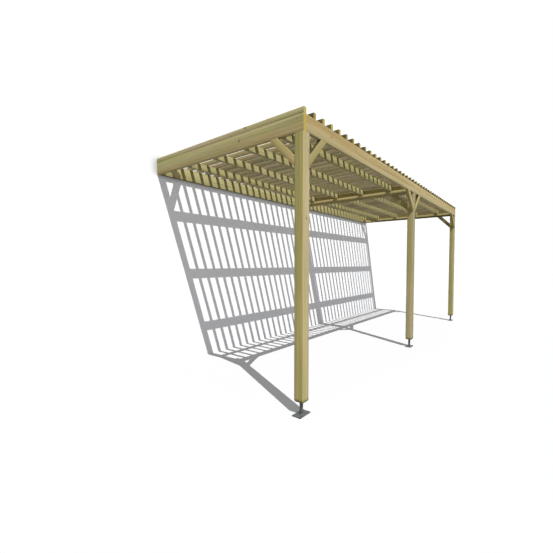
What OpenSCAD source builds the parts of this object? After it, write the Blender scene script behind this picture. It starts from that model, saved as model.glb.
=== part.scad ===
// Lean-to pergola: a level slatted timber roof, carried on a wall ledger
// at the back and on three square posts with steel feet at the front.
// X runs along the wall, Y points into the wall, Z is up.
// The origin is the centre of the back face of the wall ledger.

/* [Roof] */
// Length along the wall, over the outer faces of the end beams
roof_length = 6000; // [5000:10:7000]
// Depth from the wall to the outer face of the front beam
roof_depth = 2100; // [1800:10:2600]
// Height of the beam undersides above the ground
beam_clearance = 2330; // [2100:10:2700]

/* [Beams] */
// Thickness of the ledger and of all the beams
beam_t = 38; // [30:1:50]
// Height of the ledger and of all the beams
beam_h = 140; // [120:1:180]

/* [Posts] */
// Width of the square posts, the same both ways
post_w = 90; // [80:1:120]
// Gap between the ground and the underside of each post
post_gap = 120; // [80:1:200]
// Distance of the middle post from the joint between the two middle beams
middle_offset = -30; // [-45:1:-10]

/* [Purlins] */
// Thickness of a purlin
purlin_t = 38; // [30:1:50]
// Height of a purlin
purlin_h = 75; // [60:1:90]
// Distance between the centres of two rows of purlins
purlin_pitch = 463; // [350:1:500]
// Width and height of the square bearers under the ends of the purlins
bearer_w = 38; // [25:1:45]

/* [Slats] */
// Width of a roof slat
slat_w = 38; // [30:1:60]
// Height of a roof slat
slat_h = 50; // [35:1:70]

/* [Braces] */
// Thickness of the corner braces
brace_t = 38; // [25:1:38]
// Width across a corner brace
brace_w = 66; // [50:1:90]
// Length of each mitred leg of a corner brace, on its long side
brace_leg = 272; // [200:1:350]

/* [Feet] */
// Length of a base plate along the wall direction
plate_x = 155; // [120:1:200]
// Width of a base plate
plate_y = 85; // [70:1:150]
// Thickness of a base plate
plate_t = 8; // [5:1:12]
// Diameter of the round stem
stem_d = 30; // [20:1:40]
// Diameter of the collar round the foot of the stem
collar_d = 42; // [41:1:55]
// Height of the collar
collar_h = 8; // [5:1:20]
// Width of the square cap plate under the post
cap_w = 80; // [60:1:80]
// Thickness of the cap plate
cap_t = 5; // [3:1:8]
// Diameter of the anchor holes in a base plate
hole_d = 11; // [8:1:14]
// Distance from a hole centre to the edges of the plate
hole_edge = 14; // [12:1:18]

/* [Hidden] */
// Smoothness of round parts
$fn = 48;
// Number of slats in one group
group_slat_count = 6;
// Number of groups of slats
group_count = 7;
// Number of rows of purlins
row_count = 4;
// Diagonal of a unit square
root2 = sqrt(2);

// Levels
beam_top = beam_h / 2;
beam_bottom = -beam_h / 2;
ground = beam_bottom - beam_clearance;
post_bottom = ground + post_gap;

// Faces seen in plan
front = -roof_depth;
near = -roof_length / 2;
far = roof_length / 2;
near_inner = near + beam_t;
far_inner = far - beam_t;
ledger_front = -beam_t;
post_back = front + post_w;
middle_near = middle_offset - post_w / 2;
middle_far = middle_near + post_w;

// Spacing of the repeated pieces
slat_count = group_slat_count * group_count;
slat_pitch = (roof_length - slat_w) / (slat_count - 1);
first_row = -(roof_depth + purlin_t + (row_count - 1) * purlin_pitch) / 2;

// Colours of the materials
wood = [0.66, 0.60, 0.38];
steel = [0.22, 0.23, 0.24];

// A square block between two corners
module block(low, high) {
    translate(low)
        cube(high - low);
}

// Outline of a corner brace, both ends cut at 45 degrees
module brace_outline() {
    polygon([
        [0, -brace_leg],
        [brace_leg, 0],
        [brace_leg - brace_w * root2, 0],
        [0, brace_w * root2 - brace_leg]
    ]);
}

// Brace standing in a plane along the wall, rising towards the far end
module front_brace(x) {
    translate([x, front + brace_t, beam_bottom])
        rotate([90, 0, 0])
            linear_extrude(height = brace_t)
                brace_outline();
}

// The same brace rising towards the near end
module front_brace_mirrored(x) {
    translate([x, front + brace_t, beam_bottom])
        mirror([1, 0, 0])
            rotate([90, 0, 0])
                linear_extrude(height = brace_t)
                    brace_outline();
}

// Brace standing across the wall, from the back of a post to the beam above
module side_brace(x) {
    translate([x, post_back, beam_bottom])
        rotate([90, 0, 90])
            linear_extrude(height = brace_t)
                brace_outline();
}

// Square post up to the top of the beams, with its head still whole
module post_blank(x) {
    block([x, front, post_bottom], [x + post_w, post_back, beam_top]);
}

// Seat cut in the head of a post for a board that runs along the wall
module front_seat(x) {
    block([x - post_w, front - post_w, beam_bottom],
          [x + 2 * post_w, front + beam_t, beam_top + post_w]);
}

// Seat cut in the head of a post for boards that run into the wall
module side_seat(x_low, x_high) {
    block([x_low, front - post_w, beam_bottom],
          [x_high, post_back + post_w, beam_top + post_w]);
}

// Round stem on a drilled base plate, with a cap plate welded on top
module foot(x) {
    cx = x + post_w / 2;
    cy = front + post_w / 2;
    hx = plate_x / 2 - hole_edge;
    hy = plate_y / 2 - hole_edge;
    color(steel)
        translate([cx, cy, ground])
            difference() {
                union() {
                    translate([-plate_x / 2, -plate_y / 2, 0])
                        cube([plate_x, plate_y, plate_t]);
                    cylinder(d = collar_d, h = plate_t + collar_h);
                    cylinder(d = stem_d, h = post_gap - cap_t / 2);
                    translate([-cap_w / 2, -cap_w / 2, post_gap - cap_t])
                        cube([cap_w, cap_w, cap_t]);
                }
                for (sx = [-1, 1])
                    for (sy = [-1, 1])
                        translate([sx * hx, sy * hy, -plate_t])
                            cylinder(d = hole_d, h = 3 * plate_t);
            }
}

// Corner posts: the head is cut back on two faces to seat both beams
module near_post() {
    color(wood)
        difference() {
            post_blank(near);
            front_seat(near);
            side_seat(near - post_w, near_inner);
        }
}

module far_post() {
    color(wood)
        difference() {
            post_blank(far - post_w);
            front_seat(far - post_w);
            side_seat(far_inner, far + post_w);
        }
}

// Middle post: seats the front beam and, behind it, both middle beams
module middle_post() {
    color(wood)
        difference() {
            post_blank(middle_near);
            front_seat(middle_near);
            side_seat(-beam_t, beam_t);
        }
}

module near_foot() {
    foot(near);
}

module middle_foot() {
    foot(middle_near);
}

module far_foot() {
    foot(far - post_w);
}

// Front beam, held between the two end beams
module front_beam() {
    color(wood)
        block([near_inner, front, beam_bottom],
              [far_inner, front + beam_t, beam_top]);
}

module near_end_beam() {
    color(wood)
        block([near, front, beam_bottom], [near_inner, 0, beam_top]);
}

module far_end_beam() {
    color(wood)
        block([far_inner, front, beam_bottom], [far, 0, beam_top]);
}

// Two middle beams back to back, from the front beam to the ledger
module middle_beam(x) {
    color(wood)
        block([x, front + beam_t, beam_bottom],
              [x + beam_t, ledger_front, beam_top]);
}

module near_middle_beam() {
    middle_beam(-beam_t);
}

module far_middle_beam() {
    middle_beam(0);
}

// Ledger fixed flat against the wall, between the end beams
module wall_ledger() {
    color(wood)
        block([near_inner, ledger_front, beam_bottom],
              [far_inner, 0, beam_top]);
}

// One purlin of a row, the first row being the nearest to the front
module purlin(row, x_low, x_high) {
    y = first_row + (row - 1) * purlin_pitch;
    color(wood)
        block([x_low, y, beam_top - purlin_h],
              [x_high, y + purlin_t, beam_top]);
}

module near_purlin(row) {
    purlin(row, near_inner, -beam_t);
}

module far_purlin(row) {
    purlin(row, beam_t, far_inner);
}

module near_purlin_1() { near_purlin(1); }
module near_purlin_2() { near_purlin(2); }
module near_purlin_3() { near_purlin(3); }
module near_purlin_4() { near_purlin(4); }
module far_purlin_1() { far_purlin(1); }
module far_purlin_2() { far_purlin(2); }
module far_purlin_3() { far_purlin(3); }
module far_purlin_4() { far_purlin(4); }

// Square bearer on the side of a beam, under the ends of the purlins
module bearer(x, y_back) {
    top = beam_top - purlin_h;
    color(wood)
        block([x, post_back, top - bearer_w], [x + bearer_w, y_back, top]);
}

module near_end_bearer() {
    bearer(near_inner, ledger_front - brace_leg);
}

module near_middle_bearer() {
    bearer(-beam_t - bearer_w, ledger_front);
}

module far_middle_bearer() {
    bearer(beam_t, ledger_front);
}

module far_end_bearer() {
    bearer(far_inner - bearer_w, ledger_front - brace_leg);
}

module near_post_side_brace() {
    color(wood)
        side_brace(near);
}

module near_post_front_brace() {
    color(wood)
        front_brace(near + post_w);
}

module middle_post_near_brace() {
    color(wood)
        front_brace_mirrored(middle_near);
}

module middle_post_far_brace() {
    color(wood)
        front_brace(middle_far);
}

module middle_post_side_brace() {
    color(wood)
        side_brace(-beam_t);
}

module far_post_front_brace() {
    color(wood)
        front_brace_mirrored(far - post_w);
}

module far_post_side_brace() {
    color(wood)
        side_brace(far - brace_t);
}

// Flat braces across the corners of the end beams and the ledger
module near_wall_corner_brace() {
    color(wood)
        translate([near_inner, ledger_front, beam_bottom])
            linear_extrude(height = brace_t)
                brace_outline();
}

module far_wall_corner_brace() {
    color(wood)
        translate([far_inner, ledger_front, beam_bottom])
            mirror([1, 0, 0])
                linear_extrude(height = brace_t)
                    brace_outline();
}

// One group of roof slats, laid across the beams from wall to front
module roof_slats(group) {
    first = (group - 1) * group_slat_count;
    color(wood)
        for (i = [first : first + group_slat_count - 1])
            translate([near + i * slat_pitch, front, beam_top])
                cube([slat_w, roof_depth, slat_h]);
}

module roof_slats_1() { roof_slats(1); }
module roof_slats_2() { roof_slats(2); }
module roof_slats_3() { roof_slats(3); }
module roof_slats_4() { roof_slats(4); }
module roof_slats_5() { roof_slats(5); }
module roof_slats_6() { roof_slats(6); }
module roof_slats_7() { roof_slats(7); }

near_post();
middle_post();
far_post();
near_foot();
middle_foot();
far_foot();
front_beam();
near_end_beam();
far_end_beam();
near_middle_beam();
far_middle_beam();
wall_ledger();
near_purlin_1();
near_purlin_2();
near_purlin_3();
near_purlin_4();
far_purlin_1();
far_purlin_2();
far_purlin_3();
far_purlin_4();
near_end_bearer();
near_middle_bearer();
far_middle_bearer();
far_end_bearer();
near_post_side_brace();
near_post_front_brace();
middle_post_near_brace();
middle_post_far_brace();
middle_post_side_brace();
far_post_front_brace();
far_post_side_brace();
near_wall_corner_brace();
far_wall_corner_brace();
roof_slats_1();
roof_slats_2();
roof_slats_3();
roof_slats_4();
roof_slats_5();
roof_slats_6();
roof_slats_7();
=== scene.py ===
import math
import random

import bpy
import numpy as np
from mathutils import Matrix, Vector


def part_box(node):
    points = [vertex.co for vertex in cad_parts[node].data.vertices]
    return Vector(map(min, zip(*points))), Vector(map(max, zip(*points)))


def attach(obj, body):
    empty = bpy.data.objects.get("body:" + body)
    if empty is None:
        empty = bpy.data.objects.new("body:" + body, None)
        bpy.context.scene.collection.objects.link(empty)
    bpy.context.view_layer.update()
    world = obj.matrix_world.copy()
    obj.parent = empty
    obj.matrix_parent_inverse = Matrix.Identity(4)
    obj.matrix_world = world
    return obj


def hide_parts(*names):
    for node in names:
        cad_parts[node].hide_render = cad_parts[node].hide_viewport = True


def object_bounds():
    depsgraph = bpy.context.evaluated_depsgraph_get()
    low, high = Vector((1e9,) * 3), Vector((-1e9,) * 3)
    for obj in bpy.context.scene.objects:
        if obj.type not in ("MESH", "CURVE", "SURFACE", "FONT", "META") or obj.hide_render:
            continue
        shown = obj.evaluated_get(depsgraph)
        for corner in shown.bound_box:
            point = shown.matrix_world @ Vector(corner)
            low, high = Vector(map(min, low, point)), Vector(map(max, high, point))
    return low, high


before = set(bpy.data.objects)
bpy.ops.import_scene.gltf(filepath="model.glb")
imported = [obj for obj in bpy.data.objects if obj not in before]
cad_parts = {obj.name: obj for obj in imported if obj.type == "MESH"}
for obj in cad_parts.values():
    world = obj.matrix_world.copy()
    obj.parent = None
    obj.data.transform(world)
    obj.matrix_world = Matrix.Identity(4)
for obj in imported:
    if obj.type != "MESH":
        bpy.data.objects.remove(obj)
cad_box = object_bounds()


# ---------------------------------------------------------------------------------------------
# Wall ledger: one long planed board of pressure-treated pine, lying flat on the wall between the
# two end beams. It carries the back ends of the middle beams and of every slat. Its long arrises
# are eased by the planer and its ends are sawn square. Its underside carries painted shade, its
# ends half as much, and its arrises a painted shade line.
ALONG_WALL, INTO_WALL, UPRIGHT = Vector((1, 0, 0)), Vector((0, 1, 0)), Vector((0, 0, 1))
ARRIS, ARRIS_STEPS = 0.003, 3
SMOOTH_BELOW = math.radians(35)

# How nearly an edge or a face points one way, as a cosine, where it counts as doing so.
RUNS_ALONG, LOOKS_THAT_WAY = 0.99, 0.8
LEANS_TO_END, LEANS_TO_SIDE = 0.3, 0.15

# Each board is cut somewhere along an endless log, and takes its own tint from the vat.
OWN_LOG = random.Random(11)
ANYWHERE = (-40, 40)
OWN_LIGHT, OWN_GREEN = (-0.7, 0.7), (0.1, 0.8)


def start_afresh():
    """Leaves nothing selected, so that the next operator acts on its own piece alone."""
    if bpy.context.mode != "OBJECT":
        bpy.ops.object.mode_set(mode="OBJECT")
    bpy.ops.object.select_all(action="DESELECT")


def take_up(*pieces):
    """Selects these pieces, the first of them active."""
    start_afresh()
    for piece in pieces:
        piece.select_set(True)
    bpy.context.view_layer.objects.active = pieces[0]


def squared_block(name, low, high):
    """A sharp block between two corners, with its place in its mesh."""
    low, high = Vector(low), Vector(high)
    start_afresh()
    bpy.ops.mesh.primitive_cube_add(size=1, location=(low + high) / 2, scale=high - low)
    bpy.ops.object.transform_apply(location=True, rotation=True, scale=True)
    block = bpy.context.object
    block.name = name
    return block


def bevel_edges(piece, wanted, width, steps):
    """Cuts back the edges whose two ends pass the test, in this many steps."""
    take_up(piece)
    mesh = piece.data
    for part in (*mesh.polygons, *mesh.vertices):
        part.select = False
    for edge in mesh.edges:
        edge.select = wanted(*(mesh.vertices[i].co for i in edge.vertices))
    bpy.ops.object.mode_set(mode="EDIT")
    bpy.ops.mesh.select_mode(type="EDGE")
    bpy.ops.mesh.bevel(offset=width, segments=steps, affect="EDGES")
    bpy.ops.object.mode_set(mode="OBJECT")


def ease_arrises(board, along, width=ARRIS):
    """Rounds the edges that run along the board, as the planer does, and leaves its ends sharp."""

    def runs_along(start, end):
        return abs((end - start).normalized().dot(along)) > RUNS_ALONG

    bevel_edges(board, runs_along, width, ARRIS_STEPS)


def saw_out(board, cutter):
    """Takes the cutter's shape out of the board and throws the cutter away."""
    take_up(board)
    cut = board.modifiers.new("saw", "BOOLEAN")
    cut.operation = "DIFFERENCE"
    cut.solver = "EXACT"
    cut.object = cutter
    bpy.ops.object.modifier_apply(modifier=cut.name)
    bpy.data.objects.remove(cutter)


def write_on(mesh, name, domain, rows):
    """Keeps three numbers for each vertex or face, under a name that the material reads."""
    layer = mesh.attributes.new(name, "FLOAT_VECTOR", domain)
    layer.data.foreach_set("vector", rows.astype(float).ravel())


def lay_grain(board, along, across, pith, light=None, green=None, darker_sides=(), eased=1.0):
    """Gives each vertex its place in the log, and each face what the saw and the planer did to it
    and where it is painted darker.

    place: metres along the pith, and away from it across and through the board.
    cut: 1 on sawn end grain, the value of eased on a rounded arris, and 1 on the sides that
    face these ways and are painted darker, or half of that on the ends of such a board.
    tint: how light this board is, 0 as it comes, and how green its treatment, from 0 to 1.
    """
    mesh = board.data
    frame_of_log = np.array([along, across, along.cross(across)])
    spots = np.empty(len(mesh.vertices) * 3)
    mesh.vertices.foreach_get("co", spots)
    spots = spots.reshape(-1, 3)
    spots = (spots - (spots.min(0) + spots.max(0)) / 2) @ frame_of_log.T
    write_on(mesh, "place", "POINT", spots + (OWN_LOG.uniform(*ANYWHERE), *pith))
    facing = np.empty(len(mesh.polygons) * 3)
    mesh.polygons.foreach_get("normal", facing)
    facing = facing.reshape(-1, 3)
    lie = np.abs(facing @ frame_of_log.T)
    end = lie[:, 0] > LEANS_TO_END
    arris = (lie[:, 1:].min(1) > LEANS_TO_SIDE) & ~end
    # rough marks the sides painted darker: painted shade on most boards, a plain darker tone on
    # the post fronts.
    rough = end * 0.5 * bool(darker_sides)
    for way in darker_sides:
        rough[(facing @ np.array(way) > LOOKS_THAT_WAY) & ~end] = 1
    write_on(mesh, "cut", "FACE", np.stack([end, arris * eased, rough], axis=1))
    own_light, own_green = OWN_LOG.uniform(*OWN_LIGHT), OWN_LOG.uniform(*OWN_GREEN)
    tint = np.zeros((len(end), 3))
    tint[:, 0] = own_light if light is None else light
    tint[:, 1] = own_green if green is None else green
    write_on(mesh, "tint", "FACE", tint)


def finish_piece(piece, material, slot, *nodes):
    """Dresses a piece and lets it stand for its nodes."""
    piece.data.materials.clear()
    piece.data.materials.append(material)
    take_up(piece)
    bpy.ops.object.shade_smooth_by_angle(angle=SMOOTH_BELOW)
    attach(piece, "root")
    if nodes:
        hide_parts(*nodes)


def new_material(name):
    """A material with its node tree and its one shader."""
    material = bpy.data.materials.new(name)
    material.use_nodes = True
    return material, material.node_tree, material.node_tree.nodes["Principled BSDF"]


def feed(tree, socket, value):
    """Links a socket to another, or sets it to a plain value."""
    if isinstance(value, bpy.types.NodeSocket):
        tree.links.new(value, socket)
    else:
        socket.default_value = value


def add_node(tree, kind, inputs, **settings):
    """Adds a shader node with its settings, and feeds its inputs by name or number."""
    made = tree.nodes.new("ShaderNode" + kind)
    for name, value in settings.items():
        setattr(made, name, value)
    for key, value in inputs.items():
        feed(tree, made.inputs[key], value)
    return made


def reckon(tree, operation, *values):
    """One step of arithmetic on sockets or plain numbers."""
    return add_node(tree, "Math", dict(enumerate(values)), operation=operation).outputs[0]


def parts_of(tree, vector):
    """The three numbers of a vector, each on a socket."""
    return add_node(tree, "SeparateXYZ", {0: vector}).outputs


def noise(tree, place, scale, detail):
    """Cloudy noise that repeats nowhere, around a half."""
    inputs = {"Vector": place, "Scale": scale, "Detail": detail}
    return add_node(tree, "TexNoise", inputs).outputs


def scaled(tree, vector, factors):
    """A vector stretched by a factor on each axis."""
    return add_node(
        tree, "VectorMath", {0: vector, 1: factors}, operation="MULTIPLY"
    ).outputs[0]


def eased_step(tree, value, start, end, low=0.0, high=1.0):
    """Rises smoothly from low at start to high at end."""
    inputs = {"Value": value, "From Min": start, "From Max": end, "To Min": low, "To Max": high}
    return add_node(tree, "MapRange", inputs, interpolation_type="SMOOTHSTEP").outputs[0]


def blended(tree, factor, first, second, how="MIX"):
    """Two colours mixed by a factor."""
    made = add_node(
        tree, "Mix", {0: factor, 6: first, 7: second}, data_type="RGBA", blend_type=how
    )
    return made.outputs[2]


def stained(tree, colour, mask, strength, shade):
    """A colour darkened under a mask, to a shade of itself."""
    return blended(tree, reckon(tree, "MULTIPLY", mask, strength), colour, (*shade, 1), "MULTIPLY")


def new_group(name, takes, gives):
    """An empty node group with named sockets, its inputs by name and its output node."""
    tree = bpy.data.node_groups.new(name, "ShaderNodeTree")
    for label, (kind, value) in takes.items():
        socket = tree.interface.new_socket(label, in_out="INPUT", socket_type="NodeSocket" + kind)
        socket.default_value = value
    for label, kind in gives.items():
        tree.interface.new_socket(label, in_out="OUTPUT", socket_type="NodeSocket" + kind)
    return tree, tree.nodes.new("NodeGroupInput").outputs, tree.nodes.new("NodeGroupOutput").inputs


def make_log_figure():
    """Growth rings, branch knots and fibres in a log whose pith runs along X, as 0 to 1 masks."""
    takes = {
        "Place": ("Vector", (0, 0, 0)),
        "Ring Width": ("Float", 0.0055),
        "Wander": ("Float", 0.022),
        "Knot Share": ("Float", 0.42),
    }
    names = ("Latewood", "Knot", "Rim", "Band", "Streak", "Fibre", "Radius")
    gives = {name: "Float" for name in names}
    tree, given, result = new_group("log_figure", takes, gives)

    # The pith wanders a little from side to side, and everything round it bends with it.
    place = given["Place"]
    drift = noise(tree, scaled(tree, place, (0.9, 7, 7)), 1, 2)["Color"]
    drift = add_node(
        tree, "VectorMath", {0: drift, 1: (0.5, 0.5, 0.5)}, operation="SUBTRACT"
    ).outputs[0]
    sideways = add_node(
        tree, "CombineXYZ", {"X": 0.0, "Y": given["Wander"], "Z": given["Wander"]}
    ).outputs[0]
    bent = add_node(
        tree, "VectorMath", {0: drift, 1: sideways, 2: place}, operation="MULTIPLY_ADD"
    ).outputs[0]
    along, across, through = parts_of(tree, bent)

    # A branch leaves the pith like a spoke, so a knot is a spot in length and angle. A cell, with
    # one knot or none, is 1 / to_metre long and 1 / to_radian round.
    to_metre, to_radian = 3.2, 0.22
    smallest, spread, swollen = 0.016, 0.028, 0.011
    angle = reckon(tree, "ARCTAN2", across, through)
    spot = {
        "X": reckon(tree, "MULTIPLY", along, to_metre),
        "Y": reckon(tree, "MULTIPLY", angle, to_radian),
    }
    spot = add_node(tree, "CombineXYZ", spot).outputs[0]
    cells = add_node(tree, "TexVoronoi", {"Vector": spot, "Scale": 1}, voronoi_dimensions="2D")
    whose = add_node(tree, "SeparateColor", {0: cells.outputs["Color"]}).outputs
    bare = reckon(tree, "GREATER_THAN", whose[0], given["Knot Share"])
    reach = reckon(tree, "ADD", cells.outputs["Distance"], bare)
    size = reckon(tree, "MULTIPLY_ADD", whose[1], spread, smallest)
    near_knot = reckon(tree, "DIVIDE", reach, size)
    feed(tree, result["Knot"], eased_step(tree, near_knot, 1.05, 0.8))
    rim = reckon(
        tree,
        "MULTIPLY",
        eased_step(tree, near_knot, 0.7, 1.0),
        eased_step(tree, near_knot, 1.7, 1.0),
    )
    feed(tree, result["Rim"], rim)

    # Growth rings lie round the pith, and swell round a knot.
    squares = reckon(tree, "MULTIPLY", across, across)
    squares = reckon(tree, "MULTIPLY_ADD", through, through, squares)
    radius = reckon(tree, "SQRT", squares)
    feed(tree, result["Radius"], radius)
    swell = eased_step(tree, near_knot, 3.4, 0.6, 0.0, swollen)
    rings = reckon(tree, "DIVIDE", reckon(tree, "ADD", radius, swell), given["Ring Width"])
    saw = reckon(tree, "FRACT", rings)
    late = reckon(
        tree,
        "MULTIPLY",
        eased_step(tree, saw, 0.25, 0.85),
        eased_step(tree, saw, 1.0, 0.93),
    )
    feed(tree, result["Latewood"], late)

    # Bands are a few fingers wide and run for metres. Streaks are a finger wide, fibres a hair.
    for name, stretch, detail, start, end in (
        ("Band", (0.45, 17, 17), 1, 0.36, 0.64),
        ("Streak", (1.1, 62, 62), 2, 0.32, 0.68),
        ("Fibre", (9, 420, 420), 2, 0.25, 0.75),
    ):
        cloud = noise(tree, scaled(tree, bent, stretch), 1, detail)["Fac"]
        feed(tree, result[name], eased_step(tree, cloud, start, end))
    return tree


def make_pine_tones():
    """Colour, roughness and relief of planed and treated pine, from a log's masks."""
    names = ("Latewood", "Knot", "Rim", "Band", "Streak", "Fibre")
    takes = {name: ("Float", 0.0) for name in names} | {
        "Radius": ("Float", 0.06),
        "Cut": ("Vector", (0, 0, 0)),
        "Tint": ("Vector", (0, 0, 0)),
        "Sapwood": ("Color", (0.5, 0.45, 0.2, 1)),
        "Heartwood": ("Color", (0.5, 0.38, 0.22, 1)),
        "End Grain": ("Color", (0.5, 0.4, 0.15, 1)),
        "Darker Side": ("Color", (0.3, 0.26, 0.2, 1)),
        "Arris": ("Color", (0.62, 0.57, 0.24, 1)),
        "Arris Shading Share": ("Float", 0.3),
        "Heart Reach": ("Float", 0.05),
    }
    gives = {"Color": "Color", "Roughness": "Float", "Height": "Float"}
    tree, given, result = new_group("pine_tones", takes, gives)
    end, arris, darker_side = parts_of(tree, given["Cut"])
    light, green, _ = parts_of(tree, given["Tint"])

    # Treatment colours the sapwood green. The heartwood takes none and stays golden brown.
    border = reckon(tree, "MULTIPLY_ADD", given["Band"], 0.05, given["Radius"])
    inner = reckon(tree, "ADD", given["Heart Reach"], 0.018)
    outer = reckon(tree, "ADD", given["Heart Reach"], 0.048)
    taken_up = reckon(tree, "MULTIPLY", green, eased_step(tree, given["Band"], 1, 0, 0.25, 1))
    treated = stained(tree, given["Sapwood"], taken_up, 1.0, (0.76, 0.9, 0.66))
    colour = blended(
        tree, eased_step(tree, border, inner, outer), given["Heartwood"], treated
    )
    for mask, strength, shade in (
        ("Streak", 0.75, (0.72, 0.76, 0.66)),
        ("Latewood", 0.45, (0.68, 0.6, 0.46)),
        ("Fibre", 0.16, (0.55, 0.5, 0.42)),
        ("Rim", 0.55, (0.6, 0.42, 0.28)),
    ):
        colour = stained(tree, colour, given[mask], strength, shade)
    knot_heart = reckon(tree, "MULTIPLY", given["Knot"], 0.85)
    colour = blended(tree, knot_heart, colour, (0.16, 0.1, 0.05, 1))

    # Sawn ends show their rings. Arrises and marked sides take painted light and shade.
    sawn = stained(tree, given["End Grain"], given["Latewood"], 0.6, (0.55, 0.42, 0.26))
    sawn = stained(tree, sawn, green, 1.0, (0.75, 0.95, 0.95))
    colour = blended(tree, end, colour, sawn)
    # The arris colour is painted light and shade: a painted highlight where it is lighter than the
    # wood, a painted shade line where it is darker.
    eased = reckon(tree, "MULTIPLY", arris, given["Arris Shading Share"])
    colour = blended(tree, eased, colour, given["Arris"])
    # Marked sides are multiplied darker: painted shade on most boards, a plain darker tone on the
    # post fronts.
    colour = blended(tree, darker_side, colour, given["Darker Side"], "MULTIPLY")
    level = reckon(tree, "MULTIPLY_ADD", light, 0.22, 1.0)
    shade = add_node(tree, "CombineColor", {"Red": level, "Green": level, "Blue": level})
    colour = blended(tree, 1.0, colour, shade.outputs[0], "MULTIPLY")
    feed(tree, result["Color"], colour)

    rough = reckon(tree, "MULTIPLY_ADD", given["Fibre"], 0.14, 0.62)
    rough = reckon(tree, "MULTIPLY_ADD", end, 0.15, rough)
    feed(tree, result["Roughness"], reckon(tree, "MULTIPLY_ADD", given["Latewood"], -0.08, rough))
    height = reckon(tree, "MULTIPLY_ADD", given["Latewood"], 0.45, given["Fibre"])
    feed(tree, result["Height"], reckon(tree, "MULTIPLY_ADD", given["Knot"], 0.8, height))
    return tree


LOG_FIGURE = make_log_figure()
PINE_TONES = make_pine_tones()


def treated_pine(
    name,
    sapwood,
    heartwood,
    end_grain,
    darker_side=(0.3, 0.26, 0.2),
    arris=(0.62, 0.57, 0.24),
    arris_shading_share=0.3,
    heart_reach=0.05,
    ring_width=0.0055,
    knots=0.42,
):
    """A planed pine material, its colours and its log's habits chosen for one kind of board."""
    material, tree, shader = new_material(name)
    place, cut, tint = (
        add_node(tree, "Attribute", {}, attribute_name=label).outputs["Vector"]
        for label in ("place", "cut", "tint")
    )
    habits = {"Place": place, "Ring Width": ring_width, "Knot Share": knots}
    figure = add_node(tree, "Group", habits, node_tree=LOG_FIGURE)
    dress = {label: figure.outputs[label] for label in figure.outputs.keys()} | {
        "Cut": cut,
        "Tint": tint,
        "Sapwood": (*sapwood, 1),
        "Heartwood": (*heartwood, 1),
        "End Grain": (*end_grain, 1),
        "Darker Side": (*darker_side, 1),
        "Arris": (*arris, 1),
        "Arris Shading Share": arris_shading_share,
        "Heart Reach": heart_reach,
    }
    tones = add_node(tree, "Group", dress, node_tree=PINE_TONES)
    relief = {"Strength": 0.35, "Distance": 0.0006, "Height": tones.outputs["Height"]}
    feed(tree, shader.inputs["Base Color"], tones.outputs["Color"])
    feed(tree, shader.inputs["Roughness"], tones.outputs["Roughness"])
    feed(tree, shader.inputs["Normal"], add_node(tree, "Bump", relief).outputs[0])
    shader.inputs["Specular IOR Level"].default_value = 0.25
    return material


# Beam pine's dark arris colour paints a shade line along every arris of the boards in it. Its
# darker side colour is painted shade, on the ledger's underside and the far end beam's inner face.
beam_pine = treated_pine(
    "beam_pine",
    sapwood=(0.55, 0.475, 0.25),
    heartwood=(0.6, 0.48, 0.235),
    end_grain=(0.65, 0.42, 0.09),
    darker_side=(0.4, 0.39, 0.37),
    arris=(0.36, 0.27, 0.07),
    arris_shading_share=0.75,
    knots=0.2,
)

ledger = squared_block("wall_ledger_board", *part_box("wall_ledger"))
ease_arrises(ledger, ALONG_WALL)
lay_grain(ledger, ALONG_WALL, UPRIGHT, (0.01, 0.055), 0, 0.6, darker_sides=(-UPRIGHT,))
finish_piece(ledger, beam_pine, "beam_wood", "wall_ledger")


# ---------------------------------------------------------------------------------------------
# Steel feet: a drilled base plate, a round stem and a square cap plate, welded together and
# coated dark grey. Each lifts its post clear of the ground and is anchored through four holes.
PLATE_T, PLATE_EDGE = 0.008, 0.0008
CAP_WIDTH, CAP_T = 0.08, 0.005
STEM_D, LOW_BEAD_D, HIGH_BEAD_D = 0.03, 0.042, 0.036
BEAD_UNEVEN = 0.0004
HOLE_D, HOLE_EDGE, HOLE_SIDES = 0.011, 0.014, 24


def round_bar(name, centre, low_z, high_z, width, sides=40):
    """An upright round bar between two levels."""
    start_afresh()
    middle = Vector((centre.x, centre.y, (low_z + high_z) / 2))
    bpy.ops.mesh.primitive_cylinder_add(
        vertices=sides, radius=width / 2, depth=high_z - low_z, location=middle
    )
    bpy.ops.object.transform_apply(location=True, rotation=True, scale=True)
    bar = bpy.context.object
    bar.name = name
    return bar


def weld_bead(centre, level, inner_d, outer_d):
    """A slightly uneven ring of weld where the stem meets a plate."""
    start_afresh()
    bpy.ops.mesh.primitive_torus_add(
        location=(centre.x, centre.y, level),
        major_segments=56,
        minor_segments=10,
        major_radius=(inner_d + outer_d) / 4,
        minor_radius=(outer_d - inner_d) / 4,
    )
    bpy.ops.object.mode_set(mode="EDIT")
    bpy.ops.mesh.select_all(action="SELECT")
    bpy.ops.transform.vertex_random(offset=BEAD_UNEVEN, seed=4)
    bpy.ops.object.mode_set(mode="OBJECT")
    bpy.ops.object.transform_apply(location=True, rotation=True, scale=True)
    return bpy.context.object


def soften_edges(plate):
    """Takes the sharpness off every edge of a plate."""
    bevel_edges(plate, lambda start, end: True, PLATE_EDGE, 2)


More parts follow.
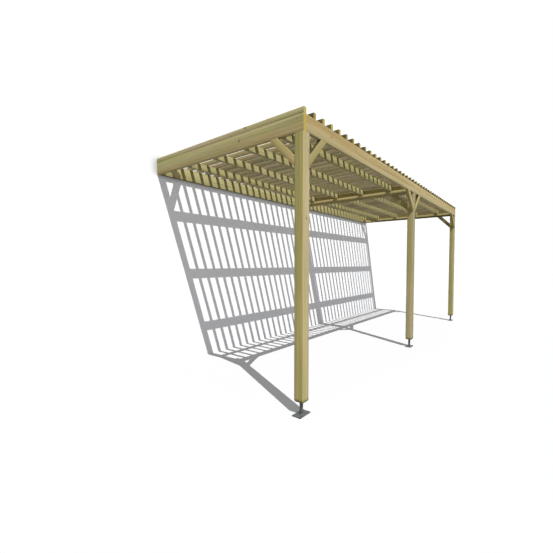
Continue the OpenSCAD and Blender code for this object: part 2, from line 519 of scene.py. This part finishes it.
def make_grey_coating():
    """Dark grey coating over steel: faint mottling, rubbed edges and fine orange peel."""
    material, tree, shader = new_material("grey_coating")
    spot = add_node(tree, "TexCoord", {}).outputs["Object"]
    cloud = noise(tree, spot, 38, 4)["Fac"]
    grain = noise(tree, spot, 900, 1)["Fac"]
    rounded = add_node(tree, "Bevel", {"Radius": 0.0015}, samples=6).outputs[0]
    facing = add_node(tree, "NewGeometry", {}).outputs["Normal"]
    bend = add_node(tree, "VectorMath", {0: rounded, 1: facing}, operation="DOT_PRODUCT")
    edge = eased_step(tree, bend.outputs["Value"], 0.995, 0.9)
    rubbed = reckon(tree, "MULTIPLY", edge, eased_step(tree, cloud, 0.4, 0.6))
    cloudy = eased_step(tree, cloud, 0.3, 0.7)
    colour = blended(tree, cloudy, (0.06, 0.068, 0.067, 1), (0.1, 0.105, 0.104, 1))
    colour = blended(tree, reckon(tree, "MULTIPLY", rubbed, 0.5), colour, (0.3, 0.31, 0.31, 1))
    feed(tree, shader.inputs["Base Color"], colour)
    feed(tree, shader.inputs["Roughness"], eased_step(tree, cloud, 0.2, 0.8, 0.42, 0.6))
    bump = add_node(tree, "Bump", {"Strength": 0.15, "Distance": 0.0003, "Height": grain})
    feed(tree, shader.inputs["Normal"], bump.outputs[0])
    return material


grey_coating = make_grey_coating()
for foot_node in ("near_foot", "middle_foot", "far_foot"):
    low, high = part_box(foot_node)
    centre = (low + high) / 2
    ground, post_bottom = low.z, high.z
    plate = squared_block(foot_node + "_welded", low, (high.x, high.y, ground + PLATE_T))
    soften_edges(plate)
    reach_x = (high.x - low.x) / 2 - HOLE_EDGE
    reach_y = (high.y - low.y) / 2 - HOLE_EDGE
    for side_x in (-1, 1):
        for side_y in (-1, 1):
            at = centre + Vector((side_x * reach_x, side_y * reach_y, 0))
            below, above = ground - PLATE_T, ground + 2 * PLATE_T
            saw_out(plate, round_bar("drill", at, below, above, HOLE_D, HOLE_SIDES))
    cap = squared_block(
        "cap",
        (centre.x - CAP_WIDTH / 2, centre.y - CAP_WIDTH / 2, post_bottom - CAP_T),
        (centre.x + CAP_WIDTH / 2, centre.y + CAP_WIDTH / 2, post_bottom),
    )
    soften_edges(cap)
    stem = round_bar("stem", centre, ground + PLATE_T, post_bottom - CAP_T, STEM_D)
    low_bead = weld_bead(centre, ground + PLATE_T, STEM_D, LOW_BEAD_D)
    high_bead = weld_bead(centre, post_bottom - CAP_T, STEM_D, HIGH_BEAD_D)
    take_up(plate, cap, stem, low_bead, high_bead)
    bpy.ops.object.join()
    finish_piece(plate, grey_coating, "galvanised_steel", foot_node)


# ---------------------------------------------------------------------------------------------
# Posts: planed 90 mm square pine, standing on the cap plates. The head of each is sawn back so
# that the beams sit flush with its faces, and a tongue of wood rises behind them. The front
# faces of the middle and far posts are a little darker, and the arrises carry a faint painted
# shade that dulls the corners.
POST_ARRIS = 0.005
BOTTOM_CHAMFER = 0.007
FOOT_DARK_FROM, FOOT_DARK_FULL, FOOT_DARK_RAGGED = 0.012, -0.018, -0.04


def recoloured(material, mask, strength, shade):
    """Darkens a finished material's colour under a mask."""
    tree = material.node_tree
    socket = tree.nodes["Principled BSDF"].inputs["Base Color"]
    feed(tree, socket, stained(tree, socket.links[0].from_socket, mask, strength, shade))


def darkened_foot(material, bottom):
    """Darkens a post's lowest end, with a ragged upper edge."""
    tree = material.node_tree
    spot = add_node(tree, "TexCoord", {}).outputs["Object"]
    level = parts_of(tree, spot)[2]
    level = reckon(tree, "MULTIPLY_ADD", noise(tree, spot, 30, 3)["Fac"], FOOT_DARK_RAGGED, level)
    darkening = eased_step(tree, level, bottom + FOOT_DARK_FROM, bottom + FOOT_DARK_FULL)
    recoloured(material, darkening, 0.75, (0.3, 0.27, 0.2))


def chamfer_bottom(post):
    """Cuts the four bottom edges at 45 degrees."""
    lowest = min(corner.co.z for corner in post.data.vertices) + 1e-6
    bevel_edges(post, lambda start, end: max(start.z, end.z) < lowest, BOTTOM_CHAMFER, 1)


# The post arris colour is a faint painted shade on the corners. The darker side colour is a plain
# darker tone on the middle and far post fronts.
post_pine = treated_pine(
    "post_pine",
    sapwood=(0.575, 0.485, 0.21),
    heartwood=(0.585, 0.485, 0.305),
    end_grain=(0.5, 0.38, 0.16),
    darker_side=(0.62, 0.65, 0.6),
    arris=(0.55, 0.46, 0.26),
    arris_shading_share=0.4,
    heart_reach=0.03,
    ring_width=0.006,
    knots=0.3,
)
darkened_foot(post_pine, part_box("near_post")[0].z)

# The saw runs this far past the wood. Each post has one seat for the front beam, and one for the
# beam or beams over it, which at the outer posts reaches the post's outside.
PAST = 0.1
seat_level, front_beam_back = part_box("front_beam")[0].z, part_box("front_beam")[1].y
near_seat_end, far_seat_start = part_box("near_end_beam")[1].x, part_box("far_end_beam")[0].x
middle_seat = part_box("near_middle_beam")[0].x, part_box("far_middle_beam")[1].x
for post_node, seat_start, seat_end, pith, darker_front in (
    ("near_post", None, near_seat_end, (0.03, 0.025), ()),
    ("middle_post", *middle_seat, (0.03, -0.025), (-INTO_WALL,)),
    ("far_post", far_seat_start, None, (0.03, 0.01), (-INTO_WALL,)),
):
    low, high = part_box(post_node)
    post = squared_block(post_node + "_timber", low, high)
    ease_arrises(post, UPRIGHT, POST_ARRIS)
    chamfer_bottom(post)
    left, right, front, back = low.x - PAST, high.x + PAST, low.y - PAST, high.y + PAST
    top = high.z + PAST
    front_seat = squared_block("seat", (left, front, seat_level), (right, front_beam_back, top))
    saw_out(post, front_seat)
    left = left if seat_start is None else seat_start
    right = right if seat_end is None else seat_end
    saw_out(post, squared_block("seat", (left, front, seat_level), (right, back, top)))
    lay_grain(post, UPRIGHT, INTO_WALL, pith, 0, 0.5, darker_sides=darker_front)
    finish_piece(post, post_pine, "post_wood", post_node)


# ---------------------------------------------------------------------------------------------
# Beams: 38 mm planed boards on edge. The two end beams run from the front to the wall and cover
# the ends of the front beam, so their end grain shows at the front corners. Two middle beams
# stand side by side over the middle post. Two countersunk screws hold each end beam to its post.
SCREWS_ABOVE_MIDDLE = 0.042
SCREWS_FROM_FRONT = (0.027, 0.067)
HEAD_D, HEAD_SUNK = 0.0085, 0.001
SINK_DEPTH, SINK_LIP, SINK_SIDES = 0.005, 0.002, 16
SINK_POINT_R, SINK_MOUTH_R = HEAD_D * 0.2, HEAD_D * 0.66
screw_places = []


def countersink(board, at, outward):
    """Bores the cone that a screw head is driven into, and notes the screw's place."""
    start_afresh()
    outward = Vector(outward)
    bpy.ops.mesh.primitive_cone_add(
        vertices=SINK_SIDES,
        radius1=SINK_POINT_R,
        radius2=SINK_MOUTH_R,
        depth=SINK_DEPTH + SINK_LIP,
        location=Vector(at) + outward * (SINK_LIP - SINK_DEPTH) / 2,
        rotation=outward.to_track_quat("Z", "Y").to_euler(),
    )
    saw_out(board, bpy.context.object)
    screw_places.append((Vector(at) - outward * HEAD_SUNK, outward))


# The front beam keeps the default arris colour, a lighter yellow-green line: partly wear, partly
# painted highlight.
front_pine = treated_pine(
    "front_pine",
    sapwood=(0.575, 0.47, 0.255),
    heartwood=(0.475, 0.35, 0.158),
    end_grain=(0.65, 0.42, 0.09),
    knots=0.25,
)
# The far end beam's inner face is painted darker, as painted shade under the roof; its ends get
# half of it.
for beam_node, material, run, pith, light, green, rough in (
    ("near_end_beam", beam_pine, INTO_WALL, (0.05, 0.05), 0.3, 0.75, ()),
    ("far_end_beam", beam_pine, INTO_WALL, (-0.02, 0.06), -0.3, 0.9, (-ALONG_WALL,)),
    ("front_beam", front_pine, ALONG_WALL, (-0.035, -0.045), 0, 0.1, ()),
    ("near_middle_beam", beam_pine, INTO_WALL, (0.0, 0.05), 0.35, 0.3, ()),
    ("far_middle_beam", beam_pine, INTO_WALL, (0.03, 0.05), 0.2, 0.4, ()),
):
    low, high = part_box(beam_node)
    middle = (low + high) / 2
    beam = squared_block(beam_node + "_board", low, high)
    ease_arrises(beam, run)
    for side, face in (("near", low.x), ("far", high.x)):
        if beam_node == side + "_end_beam":
            outward = Vector((face - middle.x, 0, 0)).normalized()
            for back in SCREWS_FROM_FRONT:
                at = (face, low.y + back, middle.z + SCREWS_ABOVE_MIDDLE)
                countersink(beam, at, outward)
    lay_grain(beam, run, UPRIGHT, pith, light, green, rough)
    finish_piece(beam, material, "beam_wood", beam_node)


# ---------------------------------------------------------------------------------------------
# Bearers: square battens screwed along the inner faces of the end beams and along both middle
# beams. The ends of the purlins rest on them.
for bearer_node in (
    "near_end_bearer",
    "near_middle_bearer",
    "far_middle_bearer",
    "far_end_bearer",
):
    bearer = squared_block(bearer_node + "_batten", *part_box(bearer_node))
    ease_arrises(bearer, INTO_WALL)
    lay_grain(bearer, INTO_WALL, UPRIGHT, pith=(0.02, 0.06), light=1.0, green=0.2)
    finish_piece(bearer, beam_pine, "beam_wood", bearer_node)


# ---------------------------------------------------------------------------------------------
# Purlins: four rows of smaller boards on edge in each bay, between the end beam and the middle
# beam, flush with the tops of the beams so that every slat rests on them.
PURLIN_ROWS = range(1, 5)
PURLIN_PITH, PURLIN_GREEN = (-0.03, 0.03), (0.25, 0.7)
for bay in ("near", "far"):
    for row in PURLIN_ROWS:
        purlin_node = f"{bay}_purlin_{row}"
        purlin = squared_block(purlin_node + "_board", *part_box(purlin_node))
        ease_arrises(purlin, ALONG_WALL)
        pith = (OWN_LOG.uniform(*PURLIN_PITH), 0.085)
        green = OWN_LOG.uniform(*PURLIN_GREEN)
        lay_grain(purlin, ALONG_WALL, UPRIGHT, pith, light=-0.3, green=green)
        finish_piece(purlin, beam_pine, "beam_wood", purlin_node)


# ---------------------------------------------------------------------------------------------
# Corner braces: short boards at 45 degrees, mitred at both ends so that one end lies flat on the
# post and the other under the beam. Two more lie flat in the corners at the wall. The narrow
# side that faces the corner carries dark painted shade.
BRACE_W = 0.066
# Brace pine's near-black side colour is painted shade on the corner-facing side; the ends of each
# brace get half of it.
brace_pine = treated_pine(
    "brace_pine",
    sapwood=(0.545, 0.45, 0.205),
    heartwood=(0.6, 0.46, 0.22),
    end_grain=(0.5, 0.38, 0.16),
    darker_side=(0.14, 0.125, 0.075),
    arris_shading_share=0.0,
    knots=0.25,
)


def mitred_brace(node, away, up, heart, light, green):
    """A brace that runs away from a post's face while it rises to the underside of a beam.

    heart: how far the log's pith lies beyond the broad face that is seen.
    """
    low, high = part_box(node)
    size = high - low
    leg = max(size)
    flat = away.cross(up)
    thickness = abs(size.dot(flat))
    outer = (low + high) / 2
    corner = outer - away * leg / 2 + up * leg / 2
    along, inward = (away + up).normalized(), (up - away).normalized()

    # The board starts too long, and the two mitres cut it to length.
    start_afresh()
    turn = Matrix([along, inward, along.cross(inward)]).transposed().to_euler()
    bpy.ops.mesh.primitive_cube_add(
        size=1,
        location=outer + inward * BRACE_W / 2,
        rotation=turn,
        scale=(2 * leg, BRACE_W, thickness),
    )
    bpy.ops.object.transform_apply(location=True, rotation=True, scale=True)
    brace = bpy.context.object
    brace.name = node + "_board"
    ease_arrises(brace, along)
    for outside in (-away, up):
        bpy.ops.object.mode_set(mode="EDIT")
        bpy.ops.mesh.select_all(action="SELECT")
        bpy.ops.mesh.bisect(plane_co=corner, plane_no=outside, use_fill=True, clear_outer=True)
        bpy.ops.object.mode_set(mode="OBJECT")
    beyond = (thickness / 2 + heart) * (1 if away == ALONG_WALL else -1)
    lay_grain(brace, along, inward, (0.0, beyond), light, green, darker_sides=(inward,))
    return brace


for brace_node, away, up, heart, light, green in (
    ("near_post_side_brace", INTO_WALL, UPRIGHT, 0.012, 1.6, 0.25),
    ("near_post_front_brace", ALONG_WALL, UPRIGHT, 0.026, -0.5, 0.0),
    ("middle_post_near_brace", -ALONG_WALL, UPRIGHT, 0.04, 0.1, 0.6),
    ("middle_post_far_brace", ALONG_WALL, UPRIGHT, 0.04, 0.3, 0.4),
    ("middle_post_side_brace", INTO_WALL, UPRIGHT, 0.04, 0.0, 0.5),
    ("far_post_front_brace", -ALONG_WALL, UPRIGHT, 0.026, -0.6, 0.2),
    ("far_post_side_brace", INTO_WALL, UPRIGHT, 0.04, -0.4, 0.5),
    ("near_wall_corner_brace", ALONG_WALL, INTO_WALL, 0.026, -0.1, 0.7),
    ("far_wall_corner_brace", -ALONG_WALL, INTO_WALL, 0.026, 0.1, 0.7),
):
    brace = mitred_brace(brace_node, away, up, heart, light, green)
    finish_piece(brace, brace_pine, "brace_wood", brace_node)


# ---------------------------------------------------------------------------------------------
# Roof slats: narrow battens on edge from the front to the wall, in seven groups of six, screwed
# down at both ends and to the four rows of purlins. Top and bottom are planed. The sides carry
# painted shade, deepest near the front ends, except for the outer sides of the two outermost
# slats. Their arrises carry a painted highlight.
GROUPS, SLATS_IN_GROUP = 7, 6
SLAT_ARRIS = 0.005
FRONT_SHADE_FULL, FRONT_SHADE_END, FRONT_SHADE_RAGGED = 0.05, 0.12, 0.02


def front_end_shade(material, front):
    """Paints deeper shade on the darker sides next to the front ends."""
    tree = material.node_tree
    spot = add_node(tree, "TexCoord", {}).outputs["Object"]
    back = parts_of(tree, spot)[1]
    back = reckon(tree, "MULTIPLY_ADD", noise(tree, spot, 40, 2)["Fac"], FRONT_SHADE_RAGGED, back)
    reached = eased_step(tree, back, front + FRONT_SHADE_END, front + FRONT_SHADE_FULL)
    cut = add_node(tree, "Attribute", {}, attribute_name="cut").outputs["Vector"]
    rough = eased_step(tree, parts_of(tree, cut)[2], 0.6, 0.9)
    recoloured(material, reached, rough, (0.38, 0.34, 0.28))


# Slat pine's pale arris colour is a painted highlight, and its darker side colour is painted shade
# between the slats.
slat_pine = treated_pine(
    "slat_pine",
    sapwood=(0.47, 0.42, 0.225),
    heartwood=(0.5, 0.42, 0.27),
    end_grain=(0.5, 0.395, 0.12),
    darker_side=(0.86, 0.82, 0.8),
    arris=(0.8, 0.73, 0.5),
    arris_shading_share=0.7,
    knots=0.3,
)
low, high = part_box("roof_slats_1")
front_end_shade(slat_pine, low.y)
whole_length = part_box(f"roof_slats_{GROUPS}")[1].x - low.x
slat_pitch = (whole_length - (high.x - low.x)) / ((GROUPS - 1) * SLATS_IN_GROUP)
slat_w = high.x - low.x - (SLATS_IN_GROUP - 1) * slat_pitch
carriers = ("front_beam", "wall_ledger", *(f"near_purlin_{row}" for row in PURLIN_ROWS))
fixings = [sum(corner.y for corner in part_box(node)) / 2 for node in carriers]

master_slat = squared_block("master_slat", low, (low.x + slat_w, high.y, high.z))
ease_arrises(master_slat, INTO_WALL, SLAT_ARRIS)
for y in fixings:
    countersink(master_slat, (low.x + slat_w / 2, y, high.z), UPRIGHT)
slat_screws = screw_places[-len(fixings) :]
del screw_places[-len(fixings) :]

# Two slats are painted paler than the rest, as painted light. The outermost two have no painted
# arris highlight and fewer sides with painted shade: the first has none, and the last has one.
PAINTED_LIT_SLATS, PAINTED_LIT_TONE = (0, 3), 1.3
SLAT_PITH, SLAT_LIGHT = (-0.02, 0.02), (-1.2, 0.8)
BOTH_SIDES = (ALONG_WALL, -ALONG_WALL)
OUTERMOST = {0: (), GROUPS * SLATS_IN_GROUP - 1: (-ALONG_WALL,)}


def put_in_scene(name, data):
    """A new object round this mesh, lamp or camera."""
    made = bpy.data.objects.new(name, data)
    bpy.context.collection.objects.link(made)
    return made


def copied_to(master, name, move):
    """A copy with its own mesh, moved or turned in its mesh."""
    copy = put_in_scene(name, master.data.copy())
    copy.data.transform(move)
    return copy


for group in range(GROUPS):
    slats = []
    for which in range(group * SLATS_IN_GROUP, (group + 1) * SLATS_IN_GROUP):
        step = ALONG_WALL * slat_pitch * which
        slat = copied_to(master_slat, "slat", Matrix.Translation(step))
        pith = (OWN_LOG.uniform(*SLAT_PITH), 0.05)
        light = PAINTED_LIT_TONE if which in PAINTED_LIT_SLATS else OWN_LOG.uniform(*SLAT_LIGHT)
        # rough: the sides that carry painted shade; eased: how much painted arris highlight.
        rough = OUTERMOST.get(which, BOTH_SIDES)
        eased = 0.0 if which in OUTERMOST else 1.0
        lay_grain(slat, INTO_WALL, ALONG_WALL, pith, light, None, rough, eased)
        slats.append(slat)
        screw_places.extend((at + step, outward) for at, outward in slat_screws)
    take_up(*slats)
    bpy.ops.object.join()
    slats[0].name = f"roof_slats_{group + 1}_battens"
    finish_piece(slats[0], slat_pine, "slat_wood", f"roof_slats_{group + 1}")
bpy.data.objects.remove(master_slat)


# ---------------------------------------------------------------------------------------------
# Screws: steel with a dull, brownish plating, driven just below the surface of the wood. Only
# their flat heads show, each with a round recess for the driver.
HEAD_T, HEAD_SIDES = 0.0015, 12
HEAD_RIM, RECESS_DEPTH = HEAD_D * 0.27, HEAD_T * 0.6
FACES_UP = 0.9


def turned_screw_head():
    """A flat head with its recess, facing up at the origin."""
    start_afresh()
    bpy.ops.mesh.primitive_cylinder_add(
        vertices=HEAD_SIDES, radius=HEAD_D / 2, depth=HEAD_T, location=(0, 0, -HEAD_T / 2)
    )
    bpy.ops.object.transform_apply(location=True, rotation=True, scale=True)
    head = bpy.context.object
    mesh = head.data
    for part in (*mesh.edges, *mesh.vertices):
        part.select = False
    for face in mesh.polygons:
        face.select = face.normal.z > FACES_UP
    bpy.ops.object.mode_set(mode="EDIT")
    bpy.ops.mesh.select_mode(type="FACE")
    bpy.ops.mesh.inset(thickness=HEAD_RIM)
    bpy.ops.mesh.extrude_region_move(TRANSFORM_OT_translate={"value": (0, 0, -RECESS_DEPTH)})
    bpy.ops.object.mode_set(mode="OBJECT")
    return head


def make_plated_steel():
    """Dull, dark plating with small changes in its sheen."""
    material, tree, shader = new_material("plated_steel")
    cloud = noise(tree, add_node(tree, "TexCoord", {}).outputs["Object"], 160, 2)["Fac"]
    shader.inputs["Metallic"].default_value = 0.6
    colour = blended(tree, cloud, (0.06, 0.052, 0.04, 1), (0.13, 0.115, 0.09, 1))
    feed(tree, shader.inputs["Base Color"], colour)
    feed(tree, shader.inputs["Roughness"], eased_step(tree, cloud, 0.2, 0.8, 0.35, 0.6))
    return material


head = turned_screw_head()
heads = []
for at, outward in screw_places:
    turn = outward.to_track_quat("Z", "Y").to_matrix().to_4x4()
    heads.append(copied_to(head, "head", Matrix.Translation(at) @ turn))
take_up(*heads)
bpy.ops.object.join()
heads[0].name = "screw_heads"
finish_piece(heads[0], make_plated_steel(), "galvanised_steel")
bpy.data.objects.remove(head)


# ---------------------------------------------------------------------------------------------
# Studio: a pale floor, a pale backdrop in the wall's place, high sun from the front and a soft
# sky. The camera stands outside the near front corner, about 1.3 m above the ground.
low, high = cad_box
WHITE, BLACK = (1, 1, 1, 1), (0, 0, 0, 1)
DULL = (0.2, 0.2, 0.195, 1)
FLOOR_SEEN, FLOOR_GLOW = (0.602, 0.602, 0.602, 1), (0.121, 0.123, 0.13, 1)
WALL_SEEN, WALL_GLOW = (0.9, 0.9, 0.9, 1), (0.131, 0.135, 0.153, 1)
FLOOR_SIZE = 80
BACKDROP_LENGTH, BACKDROP_HEIGHT, BACKDROP_GAP = 30, 5, 0.003
SHADE_FROM, SHADE_FULL, SHADE_REACH = -0.065, 0.01, 0.13


def seen_directly(tree):
    """1 where the camera, a reflection or glass sees the surface, and 0 for bounced light."""
    rays = add_node(tree, "LightPath", {}).outputs
    direct = reckon(tree, "MAXIMUM", rays["Is Camera Ray"], rays["Is Glossy Ray"])
    return reckon(tree, "MAXIMUM", direct, rays["Is Transmission Ray"])


def pale_stage(name, seen, glow):
    """A pale matt surface: a colour and a glow to the camera, a duller colour to bounced light."""
    material, tree, shader = new_material(name)
    direct = seen_directly(tree)
    feed(tree, shader.inputs["Base Color"], blended(tree, direct, DULL, seen))
    feed(tree, shader.inputs["Emission Color"], blended(tree, direct, BLACK, glow))
    shader.inputs["Emission Strength"].default_value = 1
    shader.inputs["Roughness"].default_value = 1
    shader.inputs["Specular IOR Level"].default_value = 0
    return material


def shade_at_roof(material, roof_level):
    """Darkens the backdrop softly where the roof's back edge is close to it."""
    tree = material.node_tree
    height = parts_of(tree, add_node(tree, "TexCoord", {}).outputs["Object"])[1]
    start, full = (
        (roof_level + above) / BACKDROP_HEIGHT - 0.5 for above in (SHADE_FROM, SHADE_FULL)
    )
    near_roof = eased_step(tree, height, start, full)
    crevice = add_node(tree, "AmbientOcclusion", {"Distance": SHADE_REACH}, samples=16)
    for name in ("Base Color", "Emission Color"):
        socket = tree.nodes["Principled BSDF"].inputs[name]
        open_wall = socket.links[0].from_socket
        shaded = blended(tree, near_roof, open_wall, crevice.outputs["Color"], "MULTIPLY")
        feed(tree, socket, shaded)


def clear_from_behind(material):
    """Makes a surface seen only from its front."""
    tree = material.node_tree
    behind = add_node(tree, "NewGeometry", {}).outputs["Backfacing"]
    front = tree.nodes["Principled BSDF"].outputs[0]
    clear = add_node(tree, "BsdfTransparent", {}).outputs[0]
    one_sided = add_node(tree, "MixShader", {0: behind, 1: front, 2: clear})
    feed(tree, tree.nodes["Material Output"].inputs["Surface"], one_sided.outputs[0])


start_afresh()
bpy.ops.mesh.primitive_plane_add(
    size=FLOOR_SIZE, location=((low.x + high.x) / 2, low.y, low.z)
)
floor = bpy.context.object
floor.name = "floor"
floor.data.materials.append(pale_stage("pale_floor", FLOOR_SEEN, FLOOR_GLOW))

start_afresh()
bpy.ops.mesh.primitive_plane_add(
    size=1,
    location=(0, BACKDROP_GAP, low.z + BACKDROP_HEIGHT / 2),
    rotation=(math.pi / 2, 0, 0),
)
backdrop = bpy.context.object
backdrop.name = "backdrop"
backdrop.scale = (BACKDROP_LENGTH, BACKDROP_HEIGHT, 1)
backdrop_look = pale_stage("pale_backdrop", WALL_SEEN, WALL_GLOW)
shade_at_roof(backdrop_look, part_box("wall_ledger")[0].z - low.z)
clear_from_behind(backdrop_look)
backdrop.data.materials.append(backdrop_look)
backdrop.visible_diffuse = False
backdrop.visible_shadow = False

SUN_STRENGTH, SUN_WIDTH = 4.6, math.radians(0.2)
SUN_TRAVEL = Vector((0.32, 0.633, -1))
sun = put_in_scene("sun", bpy.data.lights.new("sun", "SUN"))
sun.data.energy = SUN_STRENGTH
sun.data.angle = SUN_WIDTH
sun.rotation_euler = SUN_TRAVEL.to_track_quat("-Z", "Y").to_euler()

SKY_STRENGTH = 0.27
sky = bpy.data.worlds.new("sky")
sky.use_nodes = True
bpy.context.scene.world = sky
background = sky.node_tree.nodes["Background"]
background.inputs["Color"].default_value = WHITE
sky_level = eased_step(sky.node_tree, seen_directly(sky.node_tree), 0, 1, SKY_STRENGTH, 1.0)
feed(sky.node_tree, background.inputs["Strength"], sky_level)

EYE = Vector((-2.206, -1.491, 1.266))
TURN_RIGHT, TURN_DOWN = 0.8954, 0.0386
LENS = 21.385
camera = put_in_scene("camera", bpy.data.cameras.new("camera"))
camera.data.lens = LENS
camera.location = Vector((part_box("near_end_beam")[0].x, low.y, low.z)) + EYE
camera.rotation_euler = (math.pi / 2 - TURN_DOWN, 0, -TURN_RIGHT)
bpy.context.scene.camera = camera
bpy.context.scene.view_settings.view_transform = "Standard"
